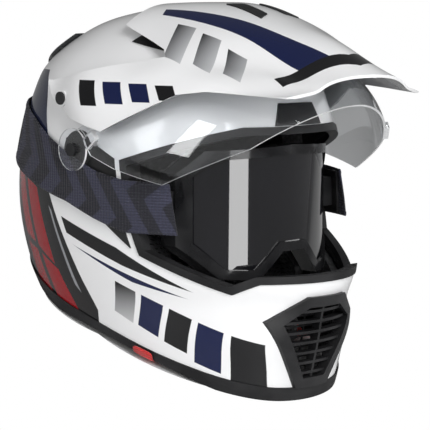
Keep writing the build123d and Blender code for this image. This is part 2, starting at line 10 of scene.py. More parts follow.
import bpy
import numpy as np
from mathutils import Matrix, Vector

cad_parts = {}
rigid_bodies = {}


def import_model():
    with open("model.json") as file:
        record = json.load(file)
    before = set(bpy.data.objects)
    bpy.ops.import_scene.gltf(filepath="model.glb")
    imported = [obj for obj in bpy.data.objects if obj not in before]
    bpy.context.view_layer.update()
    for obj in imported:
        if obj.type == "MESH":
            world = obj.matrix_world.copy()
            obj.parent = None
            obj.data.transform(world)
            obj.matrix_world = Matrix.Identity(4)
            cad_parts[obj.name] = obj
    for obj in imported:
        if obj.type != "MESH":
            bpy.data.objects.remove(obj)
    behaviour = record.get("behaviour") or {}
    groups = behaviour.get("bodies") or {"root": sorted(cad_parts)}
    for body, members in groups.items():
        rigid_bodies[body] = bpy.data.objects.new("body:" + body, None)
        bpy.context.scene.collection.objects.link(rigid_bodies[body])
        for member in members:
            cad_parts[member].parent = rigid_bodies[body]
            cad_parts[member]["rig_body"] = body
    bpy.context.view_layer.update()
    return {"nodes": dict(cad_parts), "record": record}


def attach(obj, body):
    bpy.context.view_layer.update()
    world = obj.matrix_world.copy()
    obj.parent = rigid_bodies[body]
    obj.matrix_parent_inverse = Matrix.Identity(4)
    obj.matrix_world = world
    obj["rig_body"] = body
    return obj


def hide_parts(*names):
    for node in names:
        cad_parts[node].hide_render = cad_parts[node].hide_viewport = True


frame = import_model()
nodes = frame["nodes"]
slots = {entry["node"]: entry["material_slot"] for entry in frame["record"]["subparts"]}

# The drawing is tipped by SLOPE so that it stands on its rim, then moved along to the frame's middle.
MM = 0.001
SLOPE = math.radians(18.5)
BASE_DROP = 97.0
SHIFT_BACK = -26.2245
# The photograph shows the shield raised by this much about its pivots.
SHIELD_RAISED = math.radians(40.0)
PIVOT_HEIGHT = 63.0


def row(x, y, z):
    """A point of the drawing, in mm, as metres in the frame."""
    up = z + BASE_DROP
    along = y * math.cos(SLOPE) + up * math.sin(SLOPE) + SHIFT_BACK
    return Vector((x, along, -y * math.sin(SLOPE) + up * math.cos(SLOPE))) * MM


def turned(v):
    """A direction of the drawing in the frame."""
    return row(*v) - row(0, 0, 0)


def base_row(x, y, z):
    """A point given over the rim's plane, in mm, in the drawing's mm."""
    along = y * math.cos(SLOPE) - z * math.sin(SLOPE)
    up = y * math.sin(SLOPE) + z * math.cos(SLOPE)
    return Vector((x, along, up - BASE_DROP))


# The camera's place in the drawing's attitude, in mm, and the reach of its view in metres.
CAMERA_TURN = math.radians(-44.0)
CAMERA_RISE = math.radians(6.5)
CAMERA_DISTANCE = 1600.0
CAMERA_AIM = (0.0, -38.0, 0.0)
PIXELS_PER_MM = 1.13
PHOTO_SIDE = 430.0
SENSOR_SIDE = 36.0
VIEW_FROM = 0.1
VIEW_TO = 20.0


def make_camera():
    """The camera at the photograph's viewing angle."""
    back = Vector((math.sin(CAMERA_TURN) * math.cos(CAMERA_RISE),
                   -math.cos(CAMERA_TURN) * math.cos(CAMERA_RISE), math.sin(CAMERA_RISE)))
    right = Vector((math.cos(CAMERA_TURN), math.sin(CAMERA_TURN), 0))
    upward = back.cross(right)
    focal_share = PIXELS_PER_MM * CAMERA_DISTANCE / PHOTO_SIDE
    data = bpy.data.cameras.new("camera")
    camera = bpy.data.objects.new("camera", data)
    bpy.context.scene.collection.objects.link(camera)
    bpy.context.scene.camera = camera
    data.sensor_width = SENSOR_SIDE
    data.lens = SENSOR_SIDE * focal_share
    data.clip_start = VIEW_FROM
    data.clip_end = VIEW_TO
    axes = [turned(v).normalized() for v in (right, upward, back)]
    place = row(*(Vector(CAMERA_AIM) + back * CAMERA_DISTANCE))
    camera.matrix_world = Matrix.Translation(place) @ Matrix(axes).transposed().to_4x4()


make_camera()
bpy.context.scene.view_settings.view_transform = "Standard"

# What noise mostly stays within, and the width of a printed edge in mm.
NOISE_SPAN = (0.3, 0.7)
PRINT_EDGE = 0.35


class Finish:
    """A procedural material: one Principled shader and short helpers for its nodes."""

    def __init__(self, name, colour, rough, **sockets):
        self.material = bpy.data.materials.new(name)
        self.material.use_nodes = True
        self.material.diffuse_color = (*colour, 1)
        self.tree = self.material.node_tree
        self.shader = self.tree.nodes["Principled BSDF"]
        self.shader.inputs["Base Color"].default_value = (*colour, 1)
        self.shader.inputs["Roughness"].default_value = rough
        for key, value in sockets.items():
            self.shader.inputs[key.replace("_", " ")].default_value = value
        self.coords = self.add("ShaderNodeTexCoord")
        drawing = self.add("ShaderNodeMapping", self.coords.outputs["Object"])
        shift = Vector((0, -SHIFT_BACK * math.cos(SLOPE), -SHIFT_BACK * math.sin(SLOPE) - BASE_DROP))
        drawing.inputs["Location"].default_value = shift
        drawing.inputs["Rotation"].default_value = (SLOPE, 0, 0)
        drawing.inputs["Scale"].default_value = (1 / MM, 1 / MM, 1 / MM)
        self.point = drawing.outputs["Vector"]
        self.x, self.y, self.z = self.add("ShaderNodeSeparateXYZ", self.point).outputs

    def add(self, kind, *values, **settings):
        """A node with its first inputs set, from sockets or plain values."""
        node = self.tree.nodes.new(kind)
        for key, value in settings.items():
            setattr(node, key, value)
        for slot, value in zip(node.inputs, values):
            self.put(slot, value)
        return node

    def put(self, slot, value):
        """Set an input to a plain value, or link it to another node's output."""
        if isinstance(value, bpy.types.NodeSocket):
            self.tree.links.new(value, slot)
        else:
            slot.default_value = value

    def math(self, operation, *values, clamp=False):
        """The result of a sum on numbers."""
        return self.add("ShaderNodeMath", *values, operation=operation, use_clamp=clamp).outputs[0]

    def vectors(self, operation, *values):
        """The result of a sum on vectors, which is a number for a length or a dot product."""
        node = self.add("ShaderNodeVectorMath", *values, operation=operation)
        return node.outputs["Value" if operation in ("LENGTH", "DOT_PRODUCT") else "Vector"]

    def vector(self, x, y, z):
        """A vector from its three numbers."""
        return self.add("ShaderNodeCombineXYZ", x, y, z).outputs[0]

    def noise(self, scale, detail=2.0, rough=0.5, vector=None):
        """Noise with features about 1 / scale mm wide."""
        node = self.add("ShaderNodeTexNoise")
        self.put(node.inputs["Vector"], vector or self.point)
        node.inputs["Scale"].default_value = scale
        node.inputs["Detail"].default_value = detail
        node.inputs["Roughness"].default_value = rough
        return node.outputs[0]

    def cells(self, scale):
        """The distance to the nearest of scattered points, about 1 / scale mm apart."""
        node = self.add("ShaderNodeTexVoronoi", feature="F1")
        self.put(node.inputs["Vector"], self.point)
        node.inputs["Scale"].default_value = scale
        return node.outputs["Distance"]

    def ramp(self, value, low, high, to_low=0.0, to_high=1.0):
        """A value carried evenly from one range to another, and kept inside it."""
        return self.add("ShaderNodeMapRange", value, low, high, to_low, to_high).outputs[0]

    def mix(self, factor, first, second):
        """A colour between two: the first where the factor is 0, the second where it is 1."""
        node = self.add("ShaderNodeMix", data_type="RGBA")
        self.put(node.inputs[0], factor)
        for slot, value in ((node.inputs[6], first), (node.inputs[7], second)):
            self.put(slot, (*value, 1) if isinstance(value, tuple) else value)
        return node.outputs[2]

    def colour(self, value):
        """Give the shader its colour."""
        self.put(self.shader.inputs["Base Color"], value)

    def rough(self, value):
        """Give the shader its roughness."""
        self.put(self.shader.inputs["Roughness"], value)

    def bump(self, height, depth):
        """Raise the surface by height times depth mm."""
        node = self.add("ShaderNodeBump")
        node.inputs["Strength"].default_value = 1.0
        node.inputs["Distance"].default_value = depth * MM
        self.put(node.inputs["Height"], height)
        self.put(self.shader.inputs["Normal"], node.outputs[0])

    def show(self, factor, first, second):
        """One shader where the factor is 0 and another where it is 1, as the surface."""
        both = self.add("ShaderNodeMixShader", factor, first, second).outputs[0]
        self.put(self.tree.nodes["Material Output"].inputs["Surface"], both)
        return both

    def facing_out(self, centre):
        """1 where the surface faces away from a centre, 0 where it faces it."""
        away = self.vectors("SUBTRACT", self.coords.outputs["Object"], tuple(row(*centre)))
        facing = self.vectors("DOT_PRODUCT", away, self.coords.outputs["Normal"])
        return self.math("GREATER_THAN", facing, 0.0)

    def region(self, outline, across, up):
        """1 inside a convex outline of points over the two coordinates, 0 outside."""
        spot = self.vector(across, up, 1.0)
        edges = list(zip(outline, outline[1:] + outline[:1]))
        area = sum(a[0] * b[1] - b[0] * a[1] for a, b in edges)
        least = None
        for a, b in edges:
            run, rise = b[0] - a[0], b[1] - a[1]
            length = math.copysign(math.hypot(run, rise), area)
            normal = (-rise / length, run / length)
            offset = -(normal[0] * a[0] + normal[1] * a[1])
            depth = self.vectors("DOT_PRODUCT", spot, (*normal, offset))
            least = depth if least is None else self.math("MINIMUM", least, depth)
        return self.math("MULTIPLY_ADD", least, 1 / PRINT_EDGE, 0.5, clamp=True)


def toned(colour, factor, lift=0.0):
    """A colour made lighter or darker."""
    return tuple(min(1, c * factor + lift) for c in colour)


def grained(name, colour, rough, grain, depth, **sockets):
    """Moulded plastic or rubber: a fine grain, with a little change of colour and gloss."""
    f = Finish(name, colour, rough, Specular_IOR_Level=0.3, **sockets)
    fine = f.noise(grain, 3)
    broad = f.ramp(f.noise(0.03, 2), 0.35, 0.65)
    f.colour(f.mix(broad, colour, toned(colour, 1.35, 0.01)))
    f.rough(f.ramp(fine, *NOISE_SPAN, rough - 0.06, rough + 0.08))
    f.bump(fine, depth)
    return f.material


def knit(name, colour, pitch, depth, dot_radius=0.0, dot_pitch=0.0):
    """Knitted cloth over foam, with round perforations where a dot has a radius, painted near black as
    painted shade in the holes.
    """
    f = Finish(name, colour, 0.9, Sheen_Weight=0.35, Sheen_Roughness=0.4)
    warp = f.math("SINE", f.math("MULTIPLY", f.math("ADD", f.x, f.y), math.tau / pitch))
    weft = f.math("SINE", f.math("MULTIPLY", f.math("SUBTRACT", f.z, f.y), math.tau / pitch))
    weave = f.math("MULTIPLY", warp, weft)
    fuzz = f.noise(1.5, 4, 0.7)
    height = f.math("ADD", f.math("MULTIPLY", weave, 0.5), fuzz)
    tone = f.ramp(f.noise(0.08, 3), *NOISE_SPAN)
    base = f.mix(tone, toned(colour, 0.75), toned(colour, 1.35))
    if dot_radius:
        u = f.math("PINGPONG", f.math("ADD", f.y, f.x), dot_pitch / 2)
        v = f.math("PINGPONG", f.z, dot_pitch / 2)
        far = f.math("SQRT", f.math("ADD", f.math("MULTIPLY", u, u), f.math("MULTIPLY", v, v)))
        hole = f.math("LESS_THAN", far, dot_radius)
        # The holes are painted near black: painted shade inside them.
        base = f.mix(hole, base, toned(colour, 0.1))
        height = f.math("SUBTRACT", height, f.math("MULTIPLY", hole, 2.5))
    f.colour(base)
    f.bump(height, depth)
    return f.material


def woven(name, colour, pitch, depth):
    """Flat woven webbing: a herringbone of twill ribs, with painted shade in their troughs and painted
    light on their crests.
    """
    f = Finish(name, colour, 0.75, Sheen_Weight=0.25)
    zigzag = f.math("PINGPONG", f.z, pitch * 3)
    ribs = f.math("SINE", f.math("MULTIPLY", f.math("ADD", f.x, zigzag), math.tau / pitch))
    threads = f.math("SINE", f.math("MULTIPLY", f.z, math.tau / (pitch * 0.6)))
    height = f.math("ADD", ribs, f.math("MULTIPLY", threads, 0.4))
    # The colour follows the ribs' height: painted shade in the troughs, painted light on the crests.
    shade = f.ramp(height, -1.2, 1.2)
    f.colour(f.mix(shade, toned(colour, 0.6), toned(colour, 1.4)))
    f.bump(height, depth)
    return f.material


def metal(name, colour, rough):
    """Metal with fine drawn marks."""
    f = Finish(name, colour, rough, Metallic=1.0)
    marks = f.noise(1.0, 3, 0.6, f.vectors("MULTIPLY", f.point, (0.4, 6.0, 0.4)))
    f.rough(f.ramp(marks, *NOISE_SPAN, rough - 0.05, rough + 0.15))
    f.colour(f.mix(f.noise(0.2), toned(colour, 0.8), colour))
    f.bump(marks, 0.02)
    return f.material


def beaded(name, colour):
    """Expanded foam: close round beads, lighter on their tops and darker between them as painted light and
    shade.
    """
    f = Finish(name, colour, 0.8)
    beads = f.cells(0.28)
    # Bead tops are painted lighter and the gaps between them darker: painted light and shade.
    f.colour(f.mix(f.ramp(beads, 0.2, 0.7), toned(colour, 1.3), toned(colour, 0.5)))
    f.bump(f.math("SUBTRACT", 1.0, beads), 0.5)
    return f.material


WHITE = (0.88, 0.882, 0.89)
ASH = (0.70, 0.705, 0.72)
PALE = (0.62, 0.63, 0.65)
GREY = (0.30, 0.31, 0.33)
SLATE = (0.05, 0.055, 0.075)
BLACK = (0.007, 0.007, 0.008)
SOFT_BLACK = (0.011, 0.011, 0.012)
NAVY = (0.006, 0.011, 0.055)
RED = (0.33, 0.004, 0.010)
# A near-black tone inside the shell and a grey painted shade under the peak, and the places in mm that
# those faces face.
INSIDE_SHELL = (0.015, 0.015, 0.016)
PEAK_UNDERSIDE_SHADE = (0.20, 0.205, 0.21)
SHELL_CENTRE = (0, 0, 20)
PEAK_CENTRE = (0, -30, -40)

# The shell's print over (y, z) in mm, and where its sides, its front and its rear start.
SIDE_FROM = 30.0
FRONT_FROM = -60.0
REAR_FROM = -20.0
BLACK_BAND = [(24, 4), (-40, -18), (-104, -52), (-44, -33), (18, -10)]
NAVY_BAND = [(10, -20), (-50, -41), (-98, -58), (-52, -47)]
CHIN_BAR_START = -34
CHIN_BAR_PITCH = 24
CHIN_BAR_CROWN = -33
CHIN_BAR_RISE = 0.42
CHIN_BAR_FEET = (-74, -84, -96, -112, -132)
CHIN_BAR_FADE = (-50.0, -92.0)
REAR_FIELD = [(46, 34), (200, 80), (200, -160), (0, -160), (-8, -76)]
REAR_BARS = [
    [(62, 26), (84, 34), (66, -26), (40, -40)],
    [(92, 36), (112, 40), (92, -18), (72, -24)],
    [(36, -44), (62, -32), (40, -84), (10, -92)],
    [(70, -30), (92, -24), (72, -74), (48, -80)],
]
REAR_LINE = [(38, 8), (42, 12), (15, -56), (9, -62)]
SHOULDER = [(44, 70), (58, 105), (72, 128), (200, 128), (200, 60)]
SHOULDER_FADE = (60.0, 125.0)
# A white field round the chin vent, over (x, z).
VENT_FIELD = [(-53.6, -76.4), (-22, -54.6), (22, -54.6), (53.6, -76.4), (19.4, -138.6), (-19.4, -138.6)]

# The peak's print in mm: the arms, over (y, z), are further out than the roof, over (x, y).
ARM_FROM = 98.0
ROOF_TOP_FROM = 108.0
ARM_BAR_START = -6
ARM_BAR_PITCH = 25
ARM_BAR_CROWN = 122
ARM_BAR_FOOT = 101
ROOF_WEDGE = [(54, -34), (62, -38), (46, -184), (16, -200)]
ROOF_BARS = 3
ROOF_BAR_START = -62
ROOF_BAR_PITCH = 30
ROOF_BAR_EDGE = 94
ROOF_BAR_FADE = 34.0
TIP_CHEVRON = [(-4, -196), (68, -176), (70, -188), (-4, -209)]


class Paint(Finish):
    """Glossy white lacquer with a faint orange peel, and tones printed on it in turn."""

    def __init__(self, name):
        super().__init__(name, WHITE, 0.14, Specular_IOR_Level=0.35, Coat_Weight=0.25, Coat_Roughness=0.03)
        self.bump(self.noise(0.5, 2), 0.015)
        self.printed = WHITE

    def lay(self, outline, tone, across, up, where):
        """Print a tone inside an outline over two coordinates, where a mask is 1."""
        mask = self.math("MULTIPLY", self.region(outline, across, up), where)
        self.printed = self.mix(mask, self.printed, tone)

    def finished(self, centre, inside):
        """The material, with a darker tone where the surface faces a centre; under the peak that tone is
        painted shade.
        """
        self.colour(self.mix(self.facing_out(centre), inside, self.printed))
        return self.material


def chin_bar(step):
    """The outline of one of the chin bar's bars, which follow each other forward."""
    start, foot = CHIN_BAR_START - CHIN_BAR_PITCH * step, CHIN_BAR_FEET[step]
    crown = CHIN_BAR_CROWN + CHIN_BAR_RISE * start
    return [(start, crown), (start - 19, crown - 8), (start - 13, foot - 9), (start + 6, foot)]


def arm_bar(step):
    """The outline of one of the peak arm's bars, each shorter than the one behind it."""
    start = ARM_BAR_START - ARM_BAR_PITCH * step
    crown, foot = ARM_BAR_CROWN - step, ARM_BAR_FOOT + 2 * step
    return [(start, crown), (start - 17, crown), (start - 26, foot), (start - 9, foot)]


def shell_paint(name):
    """White with swept side bands, slanted bars and a dark rear with red ones."""
    f = Paint(name)
    side = f.math("GREATER_THAN", f.math("ABSOLUTE", f.x), SIDE_FROM)
    front = f.math("LESS_THAN", f.y, FRONT_FROM)
    rear = f.math("GREATER_THAN", f.y, REAR_FROM)
    f.lay(BLACK_BAND, BLACK, f.y, f.z, side)
    f.lay(NAVY_BAND, NAVY, f.y, f.z, side)
    ashen = f.mix(f.ramp(f.z, *CHIN_BAR_FADE), BLACK, ASH)
    for step, tone in enumerate((ashen, NAVY, BLACK, NAVY, BLACK)):
        f.lay(chin_bar(step), tone, f.y, f.z, side)
    f.lay(VENT_FIELD, WHITE, f.x, f.z, front)
    f.lay(REAR_FIELD, SOFT_BLACK, f.y, f.z, rear)
    for outline in REAR_BARS:
        f.lay(outline, RED, f.y, f.z, side)
    f.lay(REAR_LINE, GREY, f.y, f.z, side)
    f.lay(SHOULDER, f.mix(f.ramp(f.z, *SHOULDER_FADE), NAVY, SLATE), f.y, f.z, rear)
    return f.finished(SHELL_CENTRE, INSIDE_SHELL)


def peak_paint(name):
    """White with slanted bars on the arms and long wedges on the roof."""
    f = Paint(name)
    out = f.math("ABSOLUTE", f.x)
    arm = f.math("GREATER_THAN", out, ARM_FROM)
    roof = f.math("LESS_THAN", out, ARM_FROM)
    top = f.math("MULTIPLY", roof, f.math("GREATER_THAN", f.z, ROOF_TOP_FROM))
    for step, tone in enumerate((BLACK, NAVY, NAVY, BLACK)):
        f.lay(arm_bar(step), tone, f.y, f.z, arm)
    f.lay(ROOF_WEDGE, NAVY, out, f.y, top)
    for step in range(ROOF_BARS):
        start, edge = ROOF_BAR_START - ROOF_BAR_PITCH * step, ROOF_BAR_EDGE - 5 * step
        fading = f.mix(f.ramp(f.y, start, start - ROOF_BAR_FADE), BLACK, PALE)
        outline = [(66, start), (edge, start - 12), (edge, start - 32), (64, start - 20)]
        f.lay(outline, fading, out, f.y, top)
    # The chevron stands behind the tip, inside a white lip.
    f.lay(TIP_CHEVRON, BLACK, out, f.y, roof)
    # Faces under the peak, which face its centre, take the grey painted shade.
    return f.finished(PEAK_CENTRE, PEAK_UNDERSIDE_SHADE)


# The closed shield lies about on a dome: its centre is this far behind the pivots' axis, at the
# drawing's zero height, and these shares turn a place on it into its outward direction. Where the
# dot product of that direction and the surface's is under the limit, the surface is a cut edge.
DOME_BACK = 10.0
DOME_SHARES = (1.0, 0.60, 0.34)
EDGE_LIMIT = 0.5
# The white that the cut edges are painted with, a painted highlight, then its roughness and share.
EDGE_HIGHLIGHT_WHITE = (0.9, 0.91, 0.92, 1)
EDGE_ROUGH = 0.25
EDGE_SHARE = 0.85


def clear_sheet(name):
    """Clear polycarbonate, with its cut edges painted white: a painted highlight for the light they gather.
    """
    f = Finish(name, (0.97, 0.985, 1.0), 0.02, IOR=1.45, Transmission_Weight=1.0)
    f.bump(f.noise(0.02, 1), 0.02)
    hinge = f.vectors("ADD", f.point, (0, 0, -PIVOT_HEIGHT))
    closed = f.add("ShaderNodeMapping", hinge)
    closed.inputs["Rotation"].default_value = (SHIELD_RAISED, 0, 0)
    place = f.vectors("ADD", closed.outputs[0], (0, -DOME_BACK, PIVOT_HEIGHT))
    outward = f.vectors("NORMALIZE", f.vectors("MULTIPLY", place, DOME_SHARES))
    facing = f.add("ShaderNodeMapping", f.coords.outputs["Normal"])
    facing.inputs["Rotation"].default_value = (SLOPE + SHIELD_RAISED, 0, 0)
    across = f.math("ABSOLUTE", f.vectors("DOT_PRODUCT", outward, facing.outputs[0]))
    edge = f.math("MULTIPLY", f.math("LESS_THAN", across, EDGE_LIMIT), EDGE_SHARE)
    # The cut edges take a white shader in place of the clear one, a painted highlight.
    painted_highlight = f.add("ShaderNodeBsdfPrincipled", EDGE_HIGHLIGHT_WHITE)
    painted_highlight.inputs["Roughness"].default_value = EDGE_ROUGH
    f.show(edge, f.shader.outputs[0], painted_highlight.outputs[0])
    return f.material


def smoke(name):
    """The goggle lens: nearly black, and glossy under a clear coat."""
    f = Finish(name, (0.006, 0.006, 0.007), 0.04, Specular_IOR_Level=0.8, Coat_Weight=1.0,
               Coat_Roughness=0.02)
    f.colour(f.mix(f.noise(0.01, 2), (0.004, 0.004, 0.005), (0.012, 0.012, 0.015)))
    return f.material


# The strap's ribs, threads and chevrons in mm, and how steeply its middle line rises to the rear.
RIB_PITCH = 2.4
THREAD_PITCH = 3.0
STRAP_RISE = 0.42
CHEVRON_LEAN = 0.8
CHEVRON_REACH = 22.0
CHEVRON_WIDTH = 16.0
CHEVRON_EDGE = 0.6


def strap_cloth(name):
    """Navy elastic: fine ribs along its length, with a tonal run of chevrons woven in, and painted shade
    along the ribs.
    """
    f = Finish(name, (0.02, 0.02, 0.038), 0.85, Sheen_Weight=0.12)
    ribs = f.math("SINE", f.math("MULTIPLY", f.z, math.tau / RIB_PITCH))
    threads = f.math("SINE", f.math("MULTIPLY", f.y, math.tau / THREAD_PITCH))
    off_middle = f.math("ABSOLUTE", f.math("SUBTRACT", f.z, f.math("MULTIPLY", f.y, STRAP_RISE)))
    lean = f.math("PINGPONG", f.math("MULTIPLY", off_middle, CHEVRON_LEAN), CHEVRON_REACH)
    marks = f.math("PINGPONG", f.math("ADD", f.y, lean), CHEVRON_WIDTH)
    tone = f.ramp(marks, CHEVRON_WIDTH / 2 - CHEVRON_EDGE, CHEVRON_WIDTH / 2 + CHEVRON_EDGE)
    cloth = f.mix(tone, (0.012, 0.012, 0.020), (0.033, 0.034, 0.062))
    # The colour darkens in the grooves between ribs and threads, as painted shade, and the fuzz varies it
    # at random.
    weave = f.ramp(f.math("ADD", ribs, f.math("MULTIPLY", threads, 0.5)), -1.4, 1.4, 0.85, 1.12)
    fuzz = f.ramp(f.noise(0.9, 4, 0.7), *NOISE_SPAN, 0.85, 1.15)
    shade = f.math("MULTIPLY", weave, fuzz)
    f.colour(f.vectors("MULTIPLY", cloth, f.vector(shade, shade, shade)))
    f.bump(f.math("ADD", ribs, f.math("MULTIPLY", threads, 0.6)), 0.3)
    return f.material


finishes = {
    "black_rubber": grained("black_rubber", (0.009, 0.009, 0.010), 0.55, 2.0, 0.08),
    "black_trim": grained("black_trim", (0.010, 0.010, 0.011), 0.42, 3.0, 0.05),
    "black_gloss": grained("black_gloss", (0.007, 0.007, 0.008), 0.16, 0.5, 0.01, Coat_Weight=0.3),
    "grey_cover": grained("grey_cover", (0.03, 0.032, 0.036), 0.2, 0.6, 0.02, Coat_Weight=0.4),
    "impact_foam": beaded("impact_foam", (0.03, 0.03, 0.032)),
    "pad_fabric": knit("pad_fabric", (0.03, 0.03, 0.033), 1.2, 0.25),
    "perforated_pad": knit("perforated_pad", (0.055, 0.055, 0.058), 0.9, 0.2, 1.1, 3.6),
    "face_foam": knit("face_foam", (0.02, 0.02, 0.021), 1.0, 0.4),
    "red_webbing": woven("red_webbing", (0.6, 0.02, 0.02), 1.6, 0.2),
    "black_webbing": woven("black_webbing", (0.02, 0.02, 0.021), 1.6, 0.2),
    "strap_weave": strap_cloth("strap_weave"),
    "steel": metal("steel", (0.62, 0.62, 0.64), 0.25),
    "black_steel": metal("black_steel", (0.08, 0.08, 0.085), 0.4),
    "mesh": metal("mesh", (0.05, 0.05, 0.052), 0.45),
    "shell_white": shell_paint("shell_white"),
    "peak_white": peak_paint("peak_white"),
    "clear_plastic": clear_sheet("clear_plastic"),
    "smoke_lens": smoke("smoke_lens"),
}
for name, node in nodes.items():
    node.data.materials.clear()
    node.data.materials.append(finishes[slots[name]])

# The shell's level sections, in mm: height, half width, rear, front, rear and front
# powers, and the station of the greatest width.
LEVELS = [
    (-155.0, 97.0, 106.1, 148.0, 2.05, 2.35, 20.0), (-100.0, 107.0, 126.0, 161.9, 2.05, 2.30, 20.0),
    (-67.0, 114.0, 140.9, 169.0, 2.05, 2.00, 20.0), (-45.0, 119.0, 155.0, 176.0, 2.05, 2.00, 20.0),
    (-25.0, 122.0, 163.0, 174.1, 2.05, 2.10, 20.0), (0.0, 124.5, 169.0, 168.1, 2.05, 2.15, 20.0),
    (30.0, 125.0, 170.0, 156.6, 2.05, 2.20, 20.0), (56.9, 124.0, 165.9, 147.0, 2.05, 2.20, 20.0),
    (105.0, 115.0, 152.0, 134.6, 2.05, 2.15, 20.0), (127.0, 107.0, 143.0, 125.8, 2.00, 2.12, 20.0),
    (147.0, 93.0, 119.0, 109.1, 2.00, 2.10, 16.0), (167.1, 67.0, 84.0, 75.7, 2.00, 2.00, 10.0),
    (176.0, 45.0, 56.1, 50.2, 2.00, 2.00, 6.0), (180.4, 28.0, 34.0, 28.2, 2.00, 2.00, 4.0),
]
SHELL_CROWN = 183.0
SHELL_HALF = 125.0
SHELL_FRONT = 176.0


def level(z):
    """The shell's section values at a height, by a smooth curve through the table."""
    z = min(max(z, LEVELS[0][0]), LEVELS[-1][0])
    k = next(i for i in range(len(LEVELS) - 1) if z <= LEVELS[i + 1][0])
    rows = [LEVELS[min(max(i, 0), len(LEVELS) - 1)] for i in (k - 1, k, k + 1, k + 2)]
    before, low, high, beyond = (np.array(r) for r in rows)
    span = high[0] - low[0]
    t = (z - low[0]) / span
    slope_low = (high - before) / max(high[0] - before[0], 1.0) * span
    slope_high = (beyond - low) / max(beyond[0] - low[0], 1.0) * span
    value = ((2 * t ** 3 - 3 * t ** 2 + 1) * low + (t ** 3 - 2 * t ** 2 + t) * slope_low
             + (3 * t ** 2 - 2 * t ** 3) * high + (t ** 3 - t ** 2) * slope_high)
    return value[1:]


def on_shell(turn, z, side, ahead, up):
    """A point of the shell grown by side, ahead and up: turn is 0 at the left, 90 at the rear."""
    flat = z * SHELL_CROWN / (SHELL_CROWN + up) if z > 0 else z
    width, rear, front, rear_power, front_power, station = level(flat)
    across, along = math.cos(math.radians(turn)), math.sin(math.radians(turn))
    power = rear_power if along >= 0 else front_power
    reach = rear - station if along >= 0 else station + front
    x = width * (SHELL_HALF + side) / SHELL_HALF * math.copysign(abs(across) ** (2 / power), across)
    y = station + reach * math.copysign(abs(along) ** (2 / power), along)
    return Vector((x, y * (SHELL_FRONT + ahead) / SHELL_FRONT, z))


def side_of_shell(y, z):
    """The shell's half width at a place seen from the side."""
    width, rear, front, rear_power, front_power, station = level(z)
    power = rear_power if y > station else front_power
    reach = rear - station if y > station else station + front
    share = min(1.0, abs(y - station) / reach)
    return width * (1 - share ** power) ** (1 / power)


def smooth_faces(mesh):
    """Shade every face smooth."""
    for polygon in mesh.polygons:
        polygon.use_smooth = True


def apply_all(piece):
    """Turn a piece's modifiers into plain mesh."""
    view = bpy.context.evaluated_depsgraph_get()
    mesh = bpy.data.meshes.new_from_object(piece.evaluated_get(view))
    piece.modifiers.clear()
    piece.data = mesh


def subdivide(piece):
    """Round a piece by one level of subdivision."""
    rounder = piece.modifiers.new("subdivide", "SUBSURF")
    rounder.levels = 1
    rounder.render_levels = 1
    apply_all(piece)


def tube_strip(name, rings, finish, body, node):
    """A new piece in a CAD node's place, from rings of points in the drawing's mm.

    The rings make a closed strip, with a flat cap on each end.
    """
    columns = len(rings[0])
    last = (len(rings) - 1) * columns
    faces = []
    for first in range(0, last, columns):
        for c in range(columns):
            d = (c + 1) % columns
            faces.append((first + c, first + d, first + columns + d, first + columns + c))
    faces.append(tuple(reversed(range(columns))))
    faces.append(tuple(last + c for c in range(columns)))
    mesh = bpy.data.meshes.new(name)
    mesh.from_pydata([row(*point) for ring in rings for point in ring], [], faces)
    mesh.validate()
    mesh.update()
    mesh.materials.append(finishes[finish])
    smooth_faces(mesh)
    piece = bpy.data.objects.new(name, mesh)
    bpy.context.scene.collection.objects.link(piece)
    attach(piece, body)
    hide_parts(node)
    return piece


def sideways(points, k):
    """The unit normal of a flat run of points at its point k."""
    step = (points[min(k + 1, len(points) - 1)] - points[max(k - 1, 0)]).normalized()
    return Vector((-step.y, step.x))


# The goggle strap's edges: (y, z) in mm from its front end to beyond the rear.
STRAP_TOP = [(-88, 38.1), (-51.9, 40.1), (-23.9, 45.9), (33.1, 69.2), (70, 86.9), (110, 99.9), (220, 109.8)]
STRAP_LOW = [(-88, -4.0), (-51.9, -4.0), (-20.1, 6.0), (12.0, 17.9), (42.9, 25.1), (125, 46.7), (220, 63.1)]
# Its front end as a turn round the shell, its steps round it, and its inner face's gap, in mm,
# which is less ahead and above.
STRAP_END = -37.5
STRAP_STEPS = 300
STRAP_GAP = 2.9
LESS_AHEAD = 1.4
LESS_ABOVE = 2.8
# Its section: the share of its width and the thickness there.
STRAP_HEM = [(0, 0.65), (0.012, 1.3), (0.045, 1.65), (0.085, 1.65), (0.11, 1.25), (0.2, 1.2), (0.35, 1.2),
             (0.5, 1.2), (0.65, 1.2), (0.8, 1.2), (0.89, 1.25), (0.915, 1.65), (0.955, 1.65), (0.988, 1.3),
             (1, 0.65)]
# Its slight waves: the height of each, in mm, and its turn at each step.
STRAP_WAVES = ((0.04, 0.275), (0.03, 0.85))
# The gathered ribs at each end: how many steps they take, their height and how far they start down.
END_STEPS = 15
END_RIB = 0.4
END_DROP = 0.35
# Each point's height is found in a few tries from a first one.
FIRST_HEIGHT = 40.0
HEIGHT_TRIES = 8


def strap_point(turn, share, out):
    """A point of the strap: share is 0 at its lower edge, 1 at its upper one."""
    grown = (out, out - LESS_AHEAD, out - LESS_ABOVE)
    z = FIRST_HEIGHT
    for _ in range(HEIGHT_TRIES):
        y = on_shell(turn, z, *grown).y
        low, top = (float(np.interp(y, *zip(*edge))) for edge in (STRAP_LOW, STRAP_TOP))
        z = low + share * (top - low)
    return on_shell(turn, z, *grown)


